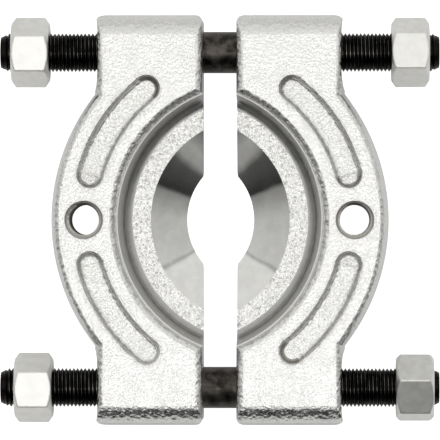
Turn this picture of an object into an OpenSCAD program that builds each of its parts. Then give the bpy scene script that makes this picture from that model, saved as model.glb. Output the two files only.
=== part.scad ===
// Bearing separator: two forged jaws on a pair of studs, drawn together by four hex nuts.
// X runs along the studs, Y along the parting faces, Z from the flat knife side to the recessed side.

/* [Jaw blank] */
// Gap between the two parting faces as set
jaw_gap = 12.5; // [2:0.5:20]
// Thickness of a jaw, flat side to recessed side
jaw_t = 28; // [27.5:0.5:32]
// Length of a jaw along its parting face
jaw_len = 152.5; // [150:0.5:160]
// Distance from the parting face to the nut seats
boss_w = 38.9; // [36:0.1:42]
// Stock that the nut seats are cut into
seat_cut = 1.3; // [0.8:0.1:2]
// Radius of a nut seat
seat_r = 14.2; // [13.3:0.1:15]
// Outer radius of the ring at the flash line
ring_r = 75.1; // [73:0.1:78]
// Distance of the ring's centre beyond the parting face
ring_offset = 18.6; // [16:0.1:20]
// Forging draft of the outer walls, in degrees
draft = 7; // [5:0.5:9]
// Height of the band left where the flash was trimmed
flash_h = 2.4; // [1:0.1:4]
// Rounding of the upper outer edges
edge_round = 2.6; // [1.5:0.1:3.5]
// Rounding of the upper edges at the two ends
end_round = 8; // [6:1:8]
// Rounding of the upper edge along the parting face
parting_round = 3; // [1.5:0.1:4]
// Rounding of every edge around the flat side
under_round = 1.6; // [1:0.1:2.5]
// Corner radius of the bosses, outer side, seen from above
outer_corner_r = 4.5; // [3:0.5:6]
// Corner radius of the bosses, parting side, seen from above
inner_corner_r = 3.3; // [2:0.1:5]
// Radius of the hollow blend between ring and boss
blend_r = 21; // [15:1:26]

/* [Recess] */
// Radius of the recess at its rim
rim_r = 53.6; // [52.6:0.1:54.6]
// Rounding of the rim
rim_round = 3.2; // [2:0.1:4]
// Width of the narrow ledge under the rim
ledge_w = 0.35; // [0.2:0.05:0.6]
// Draft of the recess wall, in degrees
wall_draft = 8; // [5:0.5:10]
// Height of the recess floor above the flat side
floor_z = 8.5; // [7:0.5:11]
// Fillet between floor and wall
floor_fillet = 3; // [1.5:0.1:4]
// Outer radius of the machined cone
cone_r = 38.3; // [36:0.1:40]
// Radius of the knife edge
knife_r = 24.9; // [23:0.1:27]
// Height of the knife edge's straight land
knife_land = 0.8; // [0.4:0.1:2]

/* [Pockets] */
// Width of a pocket across its rim
pocket_w = 10.8; // [9:0.1:12]
// Depth of a pocket
pocket_depth = 3.6; // [3:0.1:4.5]
// Angle of a pocket's end nearest the puller hole
pocket_from = 15.5; // [15:0.5:18]
// Angle of a pocket's end nearest the boss
pocket_to = 51; // [44:0.5:53]
// Draft of the pocket walls, in degrees
pocket_draft = 12; // [8:1:16]
// Fillet around the pocket floor
pocket_fillet = 1.3; // [0.6:0.1:1.6]
// Rounding of the pocket rim
pocket_round = 0.8; // [0.4:0.1:1]

/* [Puller holes] */
// Thread diameter of the tapped puller holes
puller_d = 12.7; // [10:0.1:13]
// Chamfer at both mouths of a puller hole
puller_chamfer = 0.8; // [0.4:0.1:1.2]

/* [Studs] */
// Length of a stud
stud_len = 163; // [160:1:180]
// Distance between the two studs
stud_span = 124.6; // [123.6:0.1:125.6]
// Diameter over the threads
thread_d = 14.3; // [12:0.1:14.6]
// Diameter of the plain shank
shank_d = 15.4; // [14.8:0.1:16]
// Length of the plain shank
shank_len = 60; // [40:1:68]
// Length of the tapered tips
tip_len = 3; // [2:0.1:4]
// Depth of the tapered tips
tip_depth = 1.5; // [1:0.1:2]
// Clearance around the shank in its bores
bore_fit = 0.3; // [0.2:0.05:0.5]

/* [Nuts] */
// Width of a nut across its flats
nut_af = 22.5; // [21:0.1:22.8]
// Thickness of a nut
nut_t = 14.1; // [12:0.1:15]
// Slope of the chamfered corners, in degrees
nut_chamfer = 35; // [15:1:40]
// How far the chamfer reaches in from a nut's flats
nut_ease = 0.55; // [0.2:0.05:0.8]
// Countersink of a nut's bore at both faces
nut_sink = 0.7; // [0.3:0.1:1]
// Clearance between nut and thread
thread_fit = 0.08; // [0.05:0.01:0.1]
// Stud left outside the rear left nut
rear_left_end = 4; // [2:0.1:10]
// Stud left outside the rear right nut
rear_right_end = 3.7; // [2:0.1:10]
// Stud left outside the front left nut
front_left_end = 5.2; // [2:0.1:10]
// Stud left outside the front right nut
front_right_end = 2; // [2:0.1:10]
// Turn of the rear left nut from flat side up, in degrees
rear_left_turn = 3.5; // [-30:0.5:30]
// Turn of the rear right nut from flat side up, in degrees
rear_right_turn = -2; // [-30:0.5:30]
// Turn of the front left nut from flat side up, in degrees
front_left_turn = 2.5; // [-30:0.5:30]
// Turn of the front right nut from flat side up, in degrees
front_right_turn = 16; // [-30:0.5:30]

/* [Hidden] */
$fn = 96;

// How far cutters reach past the faces they open
past = 2;
// The roundings crest this far above the flat faces, so that no two surfaces meet at a tangent
crest = 0.03;
// The hollow blends sink this far into the walls that they join
sink = 0.15;
// How deep the blend's stock reaches into ring and boss
blend_stock = 10;

mid_z = jaw_t / 2;
flank_x = boss_w + seat_cut;
stud_y = stud_span / 2;
bore_r = shank_d / 2 + bore_fit;
// Radius of the ring's upper outer edge
top_edge_r = ring_r - (mid_z - flash_h / 2) * tan(draft) - round_run(edge_round, draft);
// Middle of the ring's upper face, where the pockets and the puller hole lie
web_r = (rim_r + top_edge_r) / 2;

// Distance from a corner to where a rounding starts, for walls that lean by the given draft
function round_run(r, lean) = r * tan((90 - lean) / 2);

// Section of a forged side, drafted both ways from the flash band
module side_section(from, reach, top_r, under_r) {
    top_z = jaw_t + crest;
    wall_run = (top_z - mid_z - flash_h / 2) * tan(draft);
    top_run = round_run(top_r, draft);
    under_run = round_run(under_r, draft);
    corner = reach - wall_run;
    polygon([
        [from, -crest],
        [corner - under_run, -crest],
        [corner + under_run * sin(draft), under_run * cos(draft) - crest],
        [reach, mid_z - flash_h / 2],
        [reach, mid_z + flash_h / 2],
        [corner + top_run * sin(draft), top_z - top_run * cos(draft)],
        [corner - top_run, top_z],
        [from, top_z],
    ]);
    translate([corner - top_run, top_z - top_r]) circle(top_r);
    translate([corner - under_run, under_r - crest]) circle(under_r);
}

// Outline of the bosses from above, with rounded corners
module boss_outline() {
    x0 = -flank_x - crest;
    x1 = crest;
    y1 = jaw_len / 2 + crest;
    a = outer_corner_r;
    b = inner_corner_r;
    polygon([
        [x0 + a, -y1], [x1 - b, -y1], [x1, b - y1], [x1, y1 - b],
        [x1 - b, y1], [x0 + a, y1], [x0, y1 - a], [x0, a - y1],
    ]);
    for (side = [-1, 1]) {
        translate([x0 + a, side * (y1 - a)]) circle(a);
        translate([x1 - b, side * (y1 - b)]) circle(b);
    }
}

// Bar that carries a boss at each end
module boss_bar() {
    intersection() {
        translate([0, -jaw_len / 2 - past, 0])
            rotate([90, 0, 180])
                linear_extrude(jaw_len + 2 * past)
                    side_section(-past, flank_x, edge_round, under_round);
        for (end = [0, 180])
            rotate([0, 0, end])
                translate([-flank_x - past, 0, 0])
                    rotate([90, 0, 90])
                        linear_extrude(2 * flank_x + 2 * past)
                            side_section(-past, jaw_len / 2, end_round, under_round);
        translate([0, 0, -past])
            linear_extrude(jaw_t + 2 * past)
                boss_outline();
    }
}

// Hollow blend between the ring and the flank of one boss
module blend() {
    reach_x = flank_x + blend_r - sink;
    reach = ring_r + blend_r - sink;
    centre_y = sqrt(reach ^ 2 - (reach_x + ring_offset) ^ 2);
    turn = atan2(centre_y, reach_x + ring_offset);
    translate([-reach_x, centre_y, 0])
        rotate([0, 0, -turn])
            rotate_extrude(angle = turn)
                mirror([1, 0])
                    side_section(-blend_r - blend_stock, -blend_r, edge_round, under_round);
}

// Flat faces and rounded parting edges that bound the whole forging
module parting_bound() {
    reach = ring_r + past;
    translate([0, ring_r + past, 0])
        rotate([90, 0, 0])
            linear_extrude(2 * ring_r + 2 * past) {
                polygon([
                    [-reach, 0], [-under_round, 0], [0, under_round], [0, jaw_t - parting_round],
                    [-parting_round, jaw_t], [-reach, jaw_t],
                ]);
                translate([-under_round, under_round]) circle(under_round);
                translate([-parting_round, jaw_t - parting_round]) circle(parting_round);
            }
}

// The forging before machining
module jaw_blank() {
    intersection() {
        union() {
            translate([ring_offset, 0, 0])
                rotate_extrude()
                    side_section(0, ring_r, edge_round, under_round);
            boss_bar();
            for (side = [0, 1])
                mirror([0, side, 0])
                    blend();
        }
        parting_bound();
    }
}

// Recess, machined cone and knife edge, as the space that they leave open
module recess() {
    rim_z = jaw_t + crest - rim_round;
    ledge_r = rim_r - rim_round - ledge_w;
    foot_r = ledge_r - (rim_z - floor_z) * tan(wall_draft);
    run = round_run(floor_fillet, wall_draft);
    translate([ring_offset, 0, 0])
        rotate_extrude() {
            difference() {
                polygon([
                    [0, -past],
                    [knife_r, -past],
                    [knife_r, knife_land],
                    [cone_r, floor_z],
                    [foot_r - run, floor_z],
                    [foot_r + run * sin(wall_draft), floor_z + run * cos(wall_draft)],
                    [ledge_r, rim_z],
                    [rim_r, rim_z],
                    [rim_r, jaw_t + past],
                    [0, jaw_t + past],
                ]);
                translate([rim_r, rim_z]) circle(rim_round);
            }
            translate([foot_r - run, floor_z + floor_fillet]) circle(floor_fillet);
        }
}

// Half of a pocket's section, from its middle outwards
module pocket_half(from) {
    rim_z = jaw_t + crest - pocket_round;
    bed_z = jaw_t - pocket_depth;
    wall_x = pocket_w / 2 - pocket_round;
    foot_x = wall_x - (rim_z - bed_z) * tan(pocket_draft);
    run = round_run(pocket_fillet, pocket_draft);
    difference() {
        polygon([
            [from, bed_z],
            [foot_x - run, bed_z],
            [foot_x + run * sin(pocket_draft), bed_z + run * cos(pocket_draft)],
            [wall_x, rim_z],
            [pocket_w / 2, rim_z],
            [pocket_w / 2, jaw_t + past],
            [from, jaw_t + past],
        ]);
        translate([pocket_w / 2, rim_z]) circle(pocket_round);
    }
    translate([foot_x - run, bed_z + pocket_fillet]) circle(pocket_fillet);
}

// Kidney pocket above the X axis, as the space that it leaves open
module pocket() {
    translate([ring_offset, 0, 0]) {
        rotate([0, 0, 180 - pocket_to])
            rotate_extrude(angle = pocket_to - pocket_from)
                translate([web_r, 0])
                    for (side = [0, 1])
                        mirror([side, 0])
                            pocket_half(-past);
        rotate([0, 0, 180 - pocket_to])
            translate([web_r, 0, 0])
                rotate([0, 0, 180])
                    rotate_extrude(angle = 180)
                        pocket_half(0);
        rotate([0, 0, 180 - pocket_from])
            translate([web_r, 0, 0])
                rotate_extrude(angle = 180)
                    pocket_half(0);
    }
}

// Tapped through hole for a puller's leg, as the space that it leaves open
module puller_hole() {
    r = puller_d / 2;
    mouth_r = r + puller_chamfer + past;
    translate([ring_offset - web_r, 0, 0])
        rotate_extrude()
            polygon([
                [0, -past], [mouth_r, -past], [r, puller_chamfer],
                [r, jaw_t - puller_chamfer], [mouth_r, jaw_t + past], [0, jaw_t + past],
            ]);
}

// Stud bore and nut seat of one boss, as the space that they leave open
module stud_way() {
    translate([past, stud_y, mid_z])
        rotate([0, -90, 0]) {
            cylinder(h = flank_x + 2 * past, r = bore_r);
            translate([0, 0, boss_w + past])
                cylinder(h = ring_r, r = seat_r);
        }
}

// One jaw with its parting face at X = 0, lying towards -X
module jaw() {
    difference() {
        jaw_blank();
        recess();
        puller_hole();
        for (side = [0, 1])
            mirror([0, side, 0]) {
                pocket();
                stud_way();
            }
    }
}

// A stud along X
module stud() {
    r = thread_d / 2;
    shank_r = shank_d / 2;
    step = shank_r - r;
    half = stud_len / 2;
    rotate([0, 90, 0])
        rotate_extrude()
            polygon([
                [0, -half], [r - tip_depth, -half], [r, tip_len - half],
                [r, -shank_len / 2 - step], [shank_r, -shank_len / 2],
                [shank_r, shank_len / 2], [r, shank_len / 2 + step],
                [r, half - tip_len], [r - tip_depth, half], [0, half],
            ]);
}

// A nut about the X axis, centred, one flat up, chamfered and countersunk on both faces
module nut() {
    r = thread_d / 2 + thread_fit;
    flat_r = nut_af / 2;
    face_r = flat_r - nut_ease;
    corner_r = flat_r / cos(30) + past;
    drop = (corner_r - face_r) * tan(nut_chamfer);
    half = nut_t / 2;
    mouth = nut_sink + past;
    rotate([0, 90, 0])
        difference() {
            intersection() {
                rotate([0, 0, 30])
                    cylinder(h = nut_t + past, r = flat_r / cos(30), center = true, $fn = 6);
                rotate_extrude()
                    polygon([
                        [0, -half], [face_r, -half], [corner_r, drop - half],
                        [corner_r, half - drop], [face_r, half], [0, half],
                    ]);
            }
            rotate_extrude()
                polygon([
                    [0, -half - past], [r + mouth, -half - past], [r, nut_sink - half],
                    [r, half - nut_sink], [r + mouth, half + past], [0, half + past],
                ]);
        }
}

// A nut on its stud, so far from the stud's end and turned so far
module placed_nut(end_sign, row_sign, end_gap, turn) {
    translate([end_sign * (stud_len / 2 - end_gap - nut_t / 2), row_sign * stud_y, mid_z])
        rotate([turn, 0, 0])
            nut();
}

module left_jaw() {
    color("#d4d4d2")
        translate([-jaw_gap / 2, 0, 0])
            jaw();
}

module right_jaw() {
    color("#d4d4d2")
        rotate([0, 0, 180])
            translate([-jaw_gap / 2, 0, 0])
                jaw();
}

module rear_stud() {
    color("#26231f")
        translate([0, stud_y, mid_z])
            stud();
}

module front_stud() {
    color("#26231f")
        translate([0, -stud_y, mid_z])
            stud();
}

module rear_left_nut() {
    color("#c9c6c0")
        placed_nut(-1, 1, rear_left_end, rear_left_turn);
}

module rear_right_nut() {
    color("#c9c6c0")
        placed_nut(1, 1, rear_right_end, rear_right_turn);
}

module front_left_nut() {
    color("#c9c6c0")
        placed_nut(-1, -1, front_left_end, front_left_turn);
}

module front_right_nut() {
    color("#c9c6c0")
        placed_nut(1, -1, front_right_end, front_right_turn);
}

left_jaw();
right_jaw();
rear_stud();
front_stud();
rear_left_nut();
rear_right_nut();
front_left_nut();
front_right_nut();
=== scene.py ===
import math

import bmesh
import bpy
from mathutils import Matrix, Vector


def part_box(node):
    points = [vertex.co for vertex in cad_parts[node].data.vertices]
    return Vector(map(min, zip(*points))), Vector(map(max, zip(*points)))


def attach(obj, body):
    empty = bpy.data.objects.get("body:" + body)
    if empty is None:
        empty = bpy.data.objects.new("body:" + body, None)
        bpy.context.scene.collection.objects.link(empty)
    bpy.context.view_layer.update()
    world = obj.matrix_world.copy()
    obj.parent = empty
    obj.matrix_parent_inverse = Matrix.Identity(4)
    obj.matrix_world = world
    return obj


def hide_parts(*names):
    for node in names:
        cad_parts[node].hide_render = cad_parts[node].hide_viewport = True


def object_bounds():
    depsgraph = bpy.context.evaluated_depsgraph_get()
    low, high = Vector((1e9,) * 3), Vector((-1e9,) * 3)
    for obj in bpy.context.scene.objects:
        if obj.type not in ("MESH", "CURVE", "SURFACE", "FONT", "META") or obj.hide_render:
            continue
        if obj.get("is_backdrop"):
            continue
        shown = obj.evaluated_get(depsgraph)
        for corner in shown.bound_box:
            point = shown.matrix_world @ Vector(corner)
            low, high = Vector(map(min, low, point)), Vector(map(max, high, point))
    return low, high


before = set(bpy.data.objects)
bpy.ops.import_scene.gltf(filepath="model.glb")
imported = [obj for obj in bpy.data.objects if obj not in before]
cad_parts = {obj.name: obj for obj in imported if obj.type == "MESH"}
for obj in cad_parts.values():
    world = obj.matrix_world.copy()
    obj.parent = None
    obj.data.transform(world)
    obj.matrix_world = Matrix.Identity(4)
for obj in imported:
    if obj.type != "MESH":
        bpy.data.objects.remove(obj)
cad_low, cad_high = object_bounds()

# Driving sizes of the separator, in metres
MM = 0.001
STUDS_MID_Z = 14 * MM
RING_OFFSET = 18.6 * MM
CONE_R = 38.3 * MM
FLOOR_Z = 8.5 * MM
WALL_FOOT_R = 45.2 * MM
WALL_TOP_R = 50.45 * MM
WALL_TOP_Z = 24.9 * MM
LEDGE_Z = 24 * MM
WEB_R = 62.414 * MM
PULLER_R = 6.35 * MM
PULLER_CHAMFER = 0.8 * MM
PULLER_MINOR_R = 5.6 * MM
PULLER_PITCH = 1.27 * MM
PULLER_SINK = 0.05 * MM
THREAD_R = 7.15 * MM
THREAD_ROOT_R = 6.3 * MM
THREAD_PITCH = 1.411 * MM
CREST_RUB = 0.05 * MM
SHANK_R = 7.7 * MM
SHANK_HALF = 30 * MM
TIP_LEN = 3 * MM
TIP_DEPTH = 1.5 * MM
BORE_R = 8.0 * MM
BORE_MARGIN = 0.1 * MM
END_ROUND = 8 * MM

# Relief of the forged skin, and the eased edges
EDGE_REACH = 3.5 * MM
LUMP = 1.8 * MM
LUMP_DEPTH = 0.5 * MM
SKIN_DEPTH = 0.2 * MM
SWELL_DEPTH = 0.08 * MM
NUT_EDGE = 0.9 * MM
NUT_BEVEL = 0.4 * MM
NUT_BEVEL_STEPS = 3
EDGE_SAMPLES = 6

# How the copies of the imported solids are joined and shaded, and how finely round shapes are divided
MERGE = 1e-6
SHARP = math.radians(28)
FLAT = math.radians(1)
THREAD_STEPS = 40
ROUND_STEPS = 72

# How far a face's normal points along an axis: upright wall, slope, near level, level, square to the studs
UPRIGHT = 0.3
SLOPE = 0.5
NEAR_LEVEL = 0.9
LEVEL = 0.99
SQUARE = 0.999

# Upward tilt between which a forged flat turns into an edge, and a wall into a slope
EDGE_TILT = (0.93, 0.9995)
WALL_TILT = (0.25, 0.6)

# Scale of a wave texture that draws one ring in each unit of length, and the span that grain mostly fills
ONE_RING = 0.314
GRAIN_SPAN = (0.3, 0.7)

# The photograph's view: long lens, straight down, a little to the right of the middle
VIEW_AT = Vector((0.0336, 0.0, 1.67))
VIEW_TO = Vector((0.0, 0.0, STUDS_MID_Z))
VIEW_WIDTH = 163.7 * MM
VIEW_REACH = (0.01, 20)
SENSOR = 36.0

# The studio's belts of wall, from below to the top: each one's grey from front (-1) round to back (1)
UNDER_WALLS = ((-1.0, 0.2), (-0.5, 0.2), (-0.2, 0.28), (0.3, 0.36), (0.6, 0.42), (1.0, 0.5))
LOW_WALLS = (
    (-1.0, 0.008), (-0.91, 0.012), (-0.87, 0.14), (-0.78, 0.36), (-0.7, 0.32), (-0.63, 0.08),
    (-0.36, 0.03), (-0.315, 0.26), (0.0, 0.52), (0.45, 0.62), (0.475, 0.34), (0.51, 0.78), (1.0, 0.78),
)
HIGH_WALLS = (
    (-1.0, 0.014), (-0.75, 0.045), (-0.45, 0.25), (-0.1, 0.66), (0.4, 0.68), (0.6, 0.7), (1.0, 0.74),
)
TOP_WALLS = ((-1.0, 0.5), (-0.7, 0.55), (-0.2, 0.8), (0.2, 0.85), (1.0, 0.85))
WALL_WARMTH = 0.975

# Heights over which each belt passes into the next
LOW_FROM = (0.20, 0.31)
HIGH_FROM = (0.56, 0.70)
TOP_FROM = (0.78, 0.90)

# The lamp overhead with its soft rim, the table and the backdrop
LAMP = (2.5, 2.5, 2.5)
LAMP_TILT = math.radians(8)
LAMP_TOWARDS = (0.0, -math.sin(LAMP_TILT), math.cos(LAMP_TILT))
LAMP_RIM = (0.983, 0.9955)
TABLE_Z = -0.2 * MM
TABLE_HALF = 3.0
TABLE_GLOW = 0.18
TABLE_SEEN = 0.95
BACKDROP = (0.93, 0.93, 0.93)


class Finish:
    """A procedural finish, built up from patterns in the object's own coordinates."""

    def __init__(self, name):
        self.material = bpy.data.materials.new(name)
        self.material.use_nodes = True
        self.tree = self.material.node_tree
        self.shader = self.tree.nodes["Principled BSDF"]
        self.place = self.add("ShaderNodeTexCoord").outputs["Object"]

    def add(self, kind, **settings):
        node = self.tree.nodes.new(kind)
        for key, value in settings.items():
            setattr(node, key, value)
        return node

    def wire(self, source, target):
        self.tree.links.new(source, target)

    def set(self, **sockets):
        """Plain numbers and colours, straight on the shader."""
        for name, value in sockets.items():
            self.shader.inputs[name.replace("_", " ")].default_value = value

    def mapped(self, location=(0, 0, 0), stretch=(1, 1, 1)):
        """The object's coordinates, centred and stretched for one pattern."""
        node = self.add("ShaderNodeMapping")
        node.inputs["Location"].default_value = location
        node.inputs["Scale"].default_value = stretch
        self.wire(self.place, node.inputs["Vector"])
        return node.outputs["Vector"]

    def grain(self, size, detail=3.0, rough=0.55, place=None):
        """Irregular grain of about the given size."""
        node = self.add("ShaderNodeTexNoise")
        node.inputs["Scale"].default_value = 1 / size
        node.inputs["Detail"].default_value = detail
        node.inputs["Roughness"].default_value = rough
        self.wire(place or self.place, node.inputs["Vector"])
        return node.outputs["Fac"]

    def pits(self, size):
        """Rounded cells of about the given size, low in their middles."""
        node = self.add("ShaderNodeTexVoronoi", feature="SMOOTH_F1")
        node.inputs["Scale"].default_value = 1 / size
        node.inputs["Smoothness"].default_value = 0.6
        self.wire(self.place, node.inputs["Vector"])
        return node.outputs["Distance"]

    def rings(self, pitch, centre):
        """Turning marks about an upright axis."""
        node = self.add("ShaderNodeTexWave", wave_type="RINGS", rings_direction="Z")
        node.inputs["Scale"].default_value = ONE_RING / pitch
        self.wire(self.mapped(location=centre), node.inputs["Vector"])
        return node.outputs["Fac"]

    def span(self, value, low, high, out_low, out_high):
        """A value carried from one span to another."""
        node = self.add("ShaderNodeMapRange", interpolation_type="SMOOTHSTEP")
        for name, number in zip(("From Min", "From Max", "To Min", "To Max"), (low, high, out_low, out_high)):
            node.inputs[name].default_value = number
        self.wire(value, node.inputs["Value"])
        return node.outputs["Result"]

    def tint(self, value, dark, light):
        """A colour between two, by a value from 0 to 1."""
        node = self.add("ShaderNodeMix", data_type="RGBA")
        node.inputs["A"].default_value = (*dark, 1)
        node.inputs["B"].default_value = (*light, 1)
        self.wire(value, node.inputs["Factor"])
        return node.outputs["Result"]

    def relief(self, height, depth, strength, under=None):
        """Surface relief of the given depth, laid over another one where there is one."""
        node = self.add("ShaderNodeBump")
        node.inputs["Distance"].default_value = depth
        if isinstance(strength, float):
            node.inputs["Strength"].default_value = strength
        else:
            self.wire(strength, node.inputs["Strength"])
        self.wire(height, node.inputs["Height"])
        if under:
            self.wire(under, node.inputs["Normal"])
        return node.outputs["Normal"]

    def finish(self, colour, roughness, normal):
        """The patterns wired to the shader."""
        for name, source in (("Base Color", colour), ("Roughness", roughness), ("Normal", normal)):
            self.wire(source, self.shader.inputs[name])
        return self.material


def forged_plate(name, grain, flat_relief, dark, light):
    """Bright plating over the scaly skin of a forging, roughest where the metal bends away from a flat."""
    f = Finish(name)
    f.set(Metallic=1.0)
    eased = f.add("ShaderNodeBevel", samples=EDGE_SAMPLES)
    eased.inputs["Radius"].default_value = EDGE_REACH
    tilt = f.add("ShaderNodeSeparateXYZ")
    f.wire(eased.outputs["Normal"], tilt.inputs["Vector"])
    edge = f.span(tilt.outputs["Z"], *EDGE_TILT, 1, 0)
    skin = f.grain(grain, detail=3.0, rough=0.6)
    scale_pits = f.pits(2 * grain)
    swell = f.grain(7 * MM, detail=2.0)
    colour = f.tint(f.span(skin, 0.30, 0.52, 0, 1), dark, light)
    roughness = f.span(swell, *GRAIN_SPAN, 0.18, 0.26)
    level = f.span(edge, 0, 1, flat_relief, 0.65)
    normal = f.relief(swell, SWELL_DEPTH, 0.5)
    bend = f.add("ShaderNodeMath", operation="MULTIPLY")
    f.wire(f.span(edge, 0.3, 1, 0, 0.8), bend.inputs[0])
    f.wire(f.span(tilt.outputs["Z"], *WALL_TILT, 0.1, 1), bend.inputs[1])
    normal = f.relief(f.pits(LUMP), LUMP_DEPTH, bend.outputs["Value"], normal)
    normal = f.relief(scale_pits, SKIN_DEPTH, level, normal)
    normal = f.relief(skin, SKIN_DEPTH, level, normal)
    return f.finish(colour, roughness, normal)


def turned_cone(side, axis_x):
    """Smooth turned steel of the knife edge, with fine rings about the ring's axis."""
    f = Finish(side + "_turned_cone")
    f.set(Metallic=1.0)
    rings = f.rings(0.22 * MM, (-axis_x, 0, 0))
    streaks = f.grain(5 * MM, detail=3.0)
    colour = f.tint(f.span(streaks, *GRAIN_SPAN, 0, 1), (0.79, 0.785, 0.77), (0.88, 0.875, 0.86))
    roughness = f.span(streaks, *GRAIN_SPAN, 0.05, 0.09)
    return f.finish(colour, roughness, f.relief(rings, 0.001 * MM, 0.5))


def smooth_wall(name, dark, light):
    """Plating over a smooth wall."""
    f = Finish(name)
    f.set(Metallic=1.0)
    swell = f.grain(2.5 * MM, detail=3.0)
    colour = f.tint(f.span(swell, *GRAIN_SPAN, 0, 1), dark, light)
    return f.finish(colour, f.span(swell, *GRAIN_SPAN, 0.32, 0.42), f.relief(swell, 0.015 * MM, 0.4))


def milled_face():
    """Plated milled faces: fine cutter marks across the face."""
    f = Finish("milled_face")
    f.set(Metallic=1.0)
    marks = f.grain(0.35 * MM, detail=2.0, place=f.mapped(stretch=(1, 0.06, 1)))
    cloud = f.grain(12 * MM)
    colour = f.tint(f.span(cloud, *GRAIN_SPAN, 0, 1), (0.70, 0.695, 0.68), (0.82, 0.815, 0.80))
    return f.finish(colour, f.span(cloud, *GRAIN_SPAN, 0.26, 0.36), f.relief(marks, 0.02 * MM, 0.5))


def cut_steel(name, dark, light):
    """Drilled and tapped walls, thinly plated, with drill marks."""
    f = Finish(name)
    f.set(Metallic=1.0)
    marks = f.grain(0.4 * MM, detail=3.0)
    colour = f.tint(f.span(marks, *GRAIN_SPAN, 0, 1), dark, light)
    return f.finish(colour, f.span(marks, *GRAIN_SPAN, 0.3, 0.45), f.relief(marks, 0.03 * MM, 0.5))


def black_oxide(name, dark, light, sheen):
    """Satin black oxide of the studs, rubbed a little brown."""
    f = Finish(name)
    f.set(Metallic=0.9)
    drawn = f.grain(0.5 * MM, detail=3.0, place=f.mapped(stretch=(0.08, 1, 1)))
    rubbed = f.grain(4 * MM, detail=4.0)
    colour = f.tint(f.span(rubbed, 0.35, 0.7, 0, 1), dark, light)
    roughness = f.span(rubbed, *GRAIN_SPAN, sheen, 1.5 * sheen)
    return f.finish(colour, roughness, f.relief(drawn, 0.02 * MM, 0.4))


def zinc_nut():
    """Pale zinc of the nuts, with drawn lines along the flats."""
    f = Finish("zinc_nut")
    f.set(Metallic=1.0)
    drawn = f.grain(0.3 * MM, detail=2.0, place=f.mapped(stretch=(0.05, 1, 1)))
    cloud = f.grain(3 * MM, detail=3.0)
    colour = f.tint(f.span(cloud, *GRAIN_SPAN, 0, 1), (0.85, 0.845, 0.815), (0.93, 0.925, 0.90))
    roughness = f.span(cloud, *GRAIN_SPAN, 0.32, 0.37)
    eased = f.add("ShaderNodeBevel", samples=EDGE_SAMPLES)
    eased.inputs["Radius"].default_value = NUT_EDGE
    return f.finish(colour, roughness, f.relief(drawn, 0.015 * MM, 0.5, eased.outputs["Normal"]))


def piece_from(bm, name, finishes):
    """A finished mesh object from a bmesh, smooth except at its sharp edges."""
    for face in bm.faces:
        face.smooth = True
    for edge in bm.edges:
        edge.smooth = edge.is_manifold and edge.calc_face_angle(0) < SHARP
    mesh = bpy.data.meshes.new(name)
    bm.to_mesh(mesh)
    bm.free()
    for material in finishes:
        mesh.materials.append(material)
    piece = bpy.data.objects.new(name, mesh)
    bpy.context.scene.collection.objects.link(piece)
    return piece


def merged_copy(node):
    """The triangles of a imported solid, joined into one surface."""
    bm = bmesh.new()
    bm.from_mesh(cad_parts[node].data)
    bmesh.ops.remove_doubles(bm, verts=bm.verts, dist=MERGE)
    for face in bm.faces:
        face.material_index = 0
    return bm


def helix(profile, turns, rise):
    """A profile of (across, along) points, wound about Z with one rise per turn."""
    bm = bmesh.new()
    verts = [bm.verts.new((across, 0, along)) for across, along in profile]
    edges = [bm.edges.new(pair) for pair in zip(verts, verts[1:])]
    bmesh.ops.spin(
        bm, geom=verts + edges, cent=(0, 0, 0), axis=(0, 0, 1), dvec=(0, 0, rise / THREAD_STEPS),
        angle=2 * math.pi, steps=THREAD_STEPS, use_merge=False, use_duplicate=False,
    )
    turn = bm.verts[:] + bm.edges[:] + bm.faces[:]
    for number in range(1, turns):
        copy = bmesh.ops.duplicate(bm, geom=turn)["geom"]
        copied = [item for item in copy if isinstance(item, bmesh.types.BMVert)]
        bmesh.ops.translate(bm, verts=copied, vec=(0, 0, number * rise))
    bmesh.ops.remove_doubles(bm, verts=bm.verts, dist=MERGE)
    return bm


def cut_flat(bm, at, direction):
    """Everything beyond a level cut is taken off, and the cut is closed."""
    cut = bmesh.ops.bisect_plane(
        bm, geom=bm.verts[:] + bm.edges[:] + bm.faces[:], dist=MERGE,
        plane_co=at, plane_no=direction, clear_outer=True,
    )
    rim = [item for item in cut["geom_cut"] if isinstance(item, bmesh.types.BMEdge)]
    bmesh.ops.contextual_create(bm, geom=rim)


def join(bm, other, matrix):
    """Another shape is laid into this one."""
    bmesh.ops.transform(other, matrix=matrix, verts=other.verts)
    bmesh.ops.recalc_face_normals(other, faces=other.faces)
    loose = bpy.data.meshes.new("loose")
    other.to_mesh(loose)
    other.free()
    bm.from_mesh(loose)
    bpy.data.meshes.remove(loose)


def threaded_end():
    """One threaded end about Z, from inside the shank up to the tapered tip."""
    length = cad_high.x - SHANK_HALF
    crest = 0.16 * THREAD_PITCH
    flank = 0.36 * THREAD_PITCH
    root = THREAD_PITCH - crest - 2 * flank
    profile = [
        (THREAD_ROOT_R, 0), (THREAD_ROOT_R, root), (THREAD_R, root + flank),
        (THREAD_R, root + flank + crest), (THREAD_ROOT_R, THREAD_PITCH),
    ]
    turns = math.ceil(length / THREAD_PITCH) + 2
    bm = helix(profile, turns, THREAD_PITCH)
    bmesh.ops.translate(bm, verts=bm.verts, vec=(0, 0, -2 * THREAD_PITCH))
    for vert in bm.verts:
        reach = math.hypot(vert.co.x, vert.co.y)
        limit = THREAD_R - max(0, vert.co.z - length + TIP_LEN) * TIP_DEPTH / TIP_LEN
        if reach > limit:
            vert.co.xy *= limit / reach
    cut_flat(bm, (0, 0, 0), (0, 0, -1))
    cut_flat(bm, (0, 0, length), (0, 0, 1))
    bm.normal_update()
    # Flanks take the blacker oxide, which is painted shade; crests take the rubbed oxide.
    shaded_flank, rubbed_crest = 1, 2
    for face in bm.faces:
        face.material_index = shaded_flank
        middle = face.calc_center_median()
        if math.hypot(middle.x, middle.y) > THREAD_R - CREST_RUB and abs(face.normal.z) < UPRIGHT:
            face.material_index = rubbed_crest
    return bm


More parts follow.
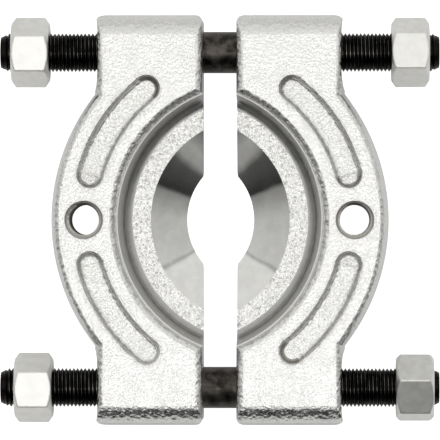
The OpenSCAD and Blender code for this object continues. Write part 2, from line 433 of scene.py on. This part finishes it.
def stud(node, finishes):
    """A stud: satin shank with a rolled thread at each end."""
    low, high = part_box(node)
    middle = (low + high) / 2
    step = SHANK_R - THREAD_R
    bm = bmesh.new()
    profile = [
        (0, -SHANK_HALF - step), (THREAD_ROOT_R, -SHANK_HALF - step), (THREAD_R, -SHANK_HALF - step),
        (SHANK_R, -SHANK_HALF), (SHANK_R, SHANK_HALF), (THREAD_R, SHANK_HALF + step),
        (THREAD_ROOT_R, SHANK_HALF + step), (0, SHANK_HALF + step),
    ]
    verts = [bm.verts.new((across, 0, along)) for across, along in profile]
    edges = [bm.edges.new(pair) for pair in zip(verts, verts[1:])]
    bmesh.ops.spin(
        bm, geom=verts + edges, cent=(0, 0, 0), axis=(0, 0, 1), angle=2 * math.pi,
        steps=ROUND_STEPS, use_merge=True, use_duplicate=False,
    )
    bmesh.ops.remove_doubles(bm, verts=bm.verts, dist=MERGE)
    bmesh.ops.recalc_face_normals(bm, faces=bm.faces)
    for end in (0, math.pi):
        join(bm, threaded_end(), Matrix.Rotation(end, 4, "X") @ Matrix.Translation((0, 0, SHANK_HALF)))
    lie = Matrix.Translation(middle) @ Matrix.Rotation(math.pi / 2, 4, "Y")
    bmesh.ops.transform(bm, matrix=lie, verts=bm.verts)
    piece = piece_from(bm, node + "_threaded", finishes)
    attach(piece, "studs")
    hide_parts(node)


def puller_thread():
    """The thread in a puller hole, as the ridge that stands inside its wall."""
    half_root = 0.45 * PULLER_PITCH
    half_crest = 0.07 * PULLER_PITCH
    wall = PULLER_R + PULLER_SINK
    profile = [
        (wall, -half_root), (PULLER_MINOR_R, -half_crest), (PULLER_MINOR_R, half_crest), (wall, half_root),
        (wall, -half_root),
    ]
    low = PULLER_CHAMFER
    high = cad_high.z - PULLER_CHAMFER
    turns = math.ceil((high - low) / PULLER_PITCH) + 2
    bm = helix(profile, turns, PULLER_PITCH)
    bmesh.ops.translate(bm, verts=bm.verts, vec=(0, 0, low - PULLER_PITCH))
    cut_flat(bm, (0, 0, low), (0, 0, -1))
    cut_flat(bm, (0, 0, high), (0, 0, 1))
    return bm


def jaw(node, side, finishes):
    """A forged jaw with its machined cone, seats, bores and tapped hole."""
    low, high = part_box(node)
    parting_x = high.x if side < 0 else low.x
    axis_x = parting_x - side * RING_OFFSET
    hole_x = axis_x + side * WEB_R
    stud_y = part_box("rear_stud")[0].y + SHANK_R
    forged, cone, milled, tapped, bored, wall, scaly_floor, end_wall, shaded_pocket_floor, mouth = range(10)
    bm = merged_copy(node)
    for face in bm.faces:
        middle = face.calc_center_median()
        reach = math.hypot(middle.x - axis_x, middle.y)
        from_hole = math.hypot(middle.x - hole_x, middle.y)
        from_stud = math.hypot(abs(middle.y) - stud_y, middle.z - STUDS_MID_Z)
        # Hole faces: the chamfered mouth in light plating, the tapped wall in a grey darkened as painted
        # shade.
        if from_hole < PULLER_R + PULLER_CHAMFER:
            face.material_index = mouth if abs(face.normal.z) > UPRIGHT else tapped
        elif from_stud < BORE_R + BORE_MARGIN and abs(face.normal.x) < SLOPE:
            face.material_index = bored
        elif reach < CONE_R and middle.z < FLOOR_Z and face.normal.z > -SLOPE:
            face.material_index = cone
        # Faces of the recess wall take the darker wall finish, which is painted shade; level faces at the
        # ledge take the hole mouth's finish.
        elif WALL_FOOT_R < reach < WALL_TOP_R and FLOOR_Z < middle.z < WALL_TOP_Z:
            face.material_index = mouth if face.normal.z > NEAR_LEVEL and middle.z > LEDGE_Z else wall
        elif CONE_R < reach < WALL_FOOT_R and face.normal.z > NEAR_LEVEL and middle.z < FLOOR_Z + MM:
            face.material_index = scaly_floor
        # Level faces below the top are pocket floors, given the darker plate: painted shade.
        elif face.normal.z > LEVEL and middle.z < high.z - MM:
            face.material_index = shaded_pocket_floor
        elif abs(middle.y) > high.y - END_ROUND and abs(face.normal.z) < UPRIGHT:
            face.material_index = end_wall
        elif face.normal.z < -LEVEL or (abs(face.normal.x) > SQUARE and abs(middle.x) < abs(hole_x)):
            face.material_index = milled
    first = len(bm.faces)
    join(bm, puller_thread(), Matrix.Translation((hole_x, 0, 0)))
    bm.faces.ensure_lookup_table()
    for face in bm.faces[first:]:
        face.material_index = tapped
    piece = piece_from(bm, node + "_forged", finishes)
    weighted = piece.modifiers.new("even_shading", "WEIGHTED_NORMAL")
    weighted.keep_sharp = True
    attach(piece, node)
    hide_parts(node)


def nut(node, material):
    """A hex nut with its edges eased."""
    bm = merged_copy(node)
    bmesh.ops.dissolve_limit(
        bm, angle_limit=FLAT, verts=bm.verts, edges=bm.edges, use_dissolve_boundaries=False
    )
    piece = piece_from(bm, node + "_plated", [material])
    eased = piece.modifiers.new("eased_edges", "BEVEL")
    eased.width = NUT_BEVEL
    eased.segments = NUT_BEVEL_STEPS
    eased.limit_method = "ANGLE"
    eased.angle_limit = SHARP
    weighted = piece.modifiers.new("even_shading", "WEIGHTED_NORMAL")
    weighted.keep_sharp = True
    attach(piece, node)
    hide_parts(node)


def studio_world():
    """A pale ceiling with a lamp over the part, dark in front, light behind and grey at both sides."""
    world = bpy.data.worlds.new("studio")
    bpy.context.scene.world = world
    world.use_nodes = True
    tree = world.node_tree
    tree.nodes.clear()

    def add(kind, **settings):
        node = tree.nodes.new(kind)
        for key, value in settings.items():
            setattr(node, key, value)
        return node

    def span(value, low, high):
        node = add("ShaderNodeMapRange", interpolation_type="SMOOTHSTEP")
        node.inputs["From Min"].default_value = low
        node.inputs["From Max"].default_value = high
        tree.links.new(value, node.inputs["Value"])
        return node.outputs["Result"]

    def mix(value, first, second):
        node = add("ShaderNodeMix", data_type="RGBA")
        tree.links.new(value, node.inputs["Factor"])
        for socket, colour in (("A", first), ("B", second)):
            if isinstance(colour, tuple):
                node.inputs[socket].default_value = (*colour, 1)
            else:
                tree.links.new(colour, node.inputs[socket])
        return node.outputs["Result"]

    direction = add("ShaderNodeTexCoord").outputs["Generated"]
    upward = add("ShaderNodeSeparateXYZ")
    tree.links.new(direction, upward.inputs["Vector"])
    height = upward.outputs["Z"]
    level = add("ShaderNodeVectorMath", operation="MULTIPLY")
    level.inputs[1].default_value = (1, 1, 0)
    tree.links.new(direction, level.inputs[0])
    bearing = add("ShaderNodeVectorMath", operation="NORMALIZE")
    tree.links.new(level.outputs["Vector"], bearing.inputs[0])
    towards_back = add("ShaderNodeSeparateXYZ")
    tree.links.new(bearing.outputs["Vector"], towards_back.inputs["Vector"])
    turn = add("ShaderNodeMapRange")
    turn.inputs["From Min"].default_value = -1
    tree.links.new(towards_back.outputs["Y"], turn.inputs["Value"])

    def belt(greys):
        node = add("ShaderNodeValToRGB")
        stops = node.color_ramp.elements
        for bearing_y, _ in greys[1:-1]:
            stops.new((bearing_y + 1) / 2)
        for stop, (_, grey) in zip(stops, greys):
            stop.color = (grey, grey, WALL_WARMTH * grey, 1)
        tree.links.new(turn.outputs["Result"], node.inputs["Fac"])
        return node.outputs["Color"]

    room = mix(span(height, *LOW_FROM), belt(UNDER_WALLS), belt(LOW_WALLS))
    room = mix(span(height, *HIGH_FROM), room, belt(HIGH_WALLS))
    room = mix(span(height, *TOP_FROM), room, belt(TOP_WALLS))
    lamp = add("ShaderNodeVectorMath", operation="DOT_PRODUCT")
    lamp.inputs[1].default_value = LAMP_TOWARDS
    tree.links.new(direction, lamp.inputs[0])
    room = mix(span(lamp.outputs["Value"], *LAMP_RIM), room, LAMP)
    rays = add("ShaderNodeLightPath")
    seen = mix(rays.outputs["Is Camera Ray"], room, BACKDROP)
    light = add("ShaderNodeBackground")
    tree.links.new(seen, light.inputs["Color"])
    tree.links.new(light.outputs["Background"], add("ShaderNodeOutputWorld").inputs["Surface"])


def floor():
    """Plain white table, a hair below the part."""
    bm = bmesh.new()
    bmesh.ops.create_grid(bm, x_segments=1, y_segments=1, size=TABLE_HALF)
    bmesh.ops.translate(bm, verts=bm.verts, vec=(0, 0, TABLE_Z))
    f = Finish("white_table")
    f.set(Base_Color=(0.85, 0.85, 0.85, 1), Roughness=0.9, Emission_Color=(1, 1, 1, 1))
    rays = f.add("ShaderNodeLightPath")
    glow = f.span(rays.outputs["Is Camera Ray"], 0, 1, TABLE_GLOW, TABLE_SEEN)
    f.wire(glow, f.shader.inputs["Emission Strength"])
    table = piece_from(bm, "table", [f.material])
    table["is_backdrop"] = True


def camera():
    """Long lens over the part, as in the photograph."""
    data = bpy.data.cameras.new("camera")
    eye = bpy.data.objects.new("camera", data)
    bpy.context.scene.collection.objects.link(eye)
    towards = VIEW_TO - VIEW_AT
    back = -towards.normalized()
    up = (Vector((0, 1, 0)) - back * back.y).normalized()
    eye.location = VIEW_AT
    eye.rotation_euler = Matrix((up.cross(back), up, back)).transposed().to_euler()
    data.sensor_width = SENSOR
    data.lens = SENSOR * towards.length / VIEW_WIDTH
    data.clip_start, data.clip_end = VIEW_REACH
    bpy.context.scene.camera = eye


plate = forged_plate("forged_plate", 0.55 * MM, 0.5, (0.74, 0.735, 0.72), (0.88, 0.875, 0.865))
scaly = forged_plate("scaly_floor", 0.9 * MM, 1.0, (0.52, 0.515, 0.495), (0.86, 0.855, 0.84))
# The pocket floors take the plate's finish in a darker grey: painted shade in the pockets.
pocket_shade_plate = forged_plate("shaded_pocket_floor", 0.55 * MM, 0.55, (0.62, 0.615, 0.60), (0.84, 0.835, 0.82))
milled = milled_face()
# The tapped wall's grey is partly the cut steel's own and partly painted shade in the hole.
tapped = cut_steel("tapped_wall_with_painted_shade", (0.30, 0.285, 0.26), (0.46, 0.44, 0.41))
# The recess wall's smooth finish is a darker grey than the same finish on the end walls: painted shade in the
# recess.
smooth = smooth_wall("smooth_wall", (0.44, 0.437, 0.425), (0.52, 0.517, 0.505))
bright = smooth_wall("end_wall", (0.74, 0.735, 0.71), (0.84, 0.835, 0.81))
chamfer = cut_steel("hole_mouth", (0.62, 0.61, 0.58), (0.78, 0.77, 0.74))
bored = cut_steel("bored_wall", (0.30, 0.29, 0.28), (0.48, 0.47, 0.45))
oxide = black_oxide("black_oxide", (0.022, 0.020, 0.018), (0.13, 0.117, 0.105), 0.26)
# The thread flanks take the oxide in a blacker grey than the shank: painted shade on the flanks.
flank_shade_oxide = black_oxide("shaded_thread_flanks", (0.004, 0.004, 0.004), (0.016, 0.015, 0.014), 0.24)
rubbed = black_oxide("rubbed_crests", (0.02, 0.019, 0.018), (0.16, 0.15, 0.14), 0.12)
zinc = zinc_nut()
for node, side in (("left_jaw", -1), ("right_jaw", 1)):
    low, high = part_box(node)
    axis = (high.x if side < 0 else low.x) - side * RING_OFFSET
    turned = turned_cone(node, axis)
    jaw(node, side, [plate, turned, milled, tapped, bored, smooth, scaly, bright, pocket_shade_plate, chamfer])
for node in ("rear_stud", "front_stud"):
    stud(node, [oxide, flank_shade_oxide, rubbed])
for node in ("rear_left_nut", "rear_right_nut", "front_left_nut", "front_right_nut"):
    nut(node, zinc)
floor()
studio_world()
camera()
bpy.context.scene.view_settings.view_transform = "Standard"

low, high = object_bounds()
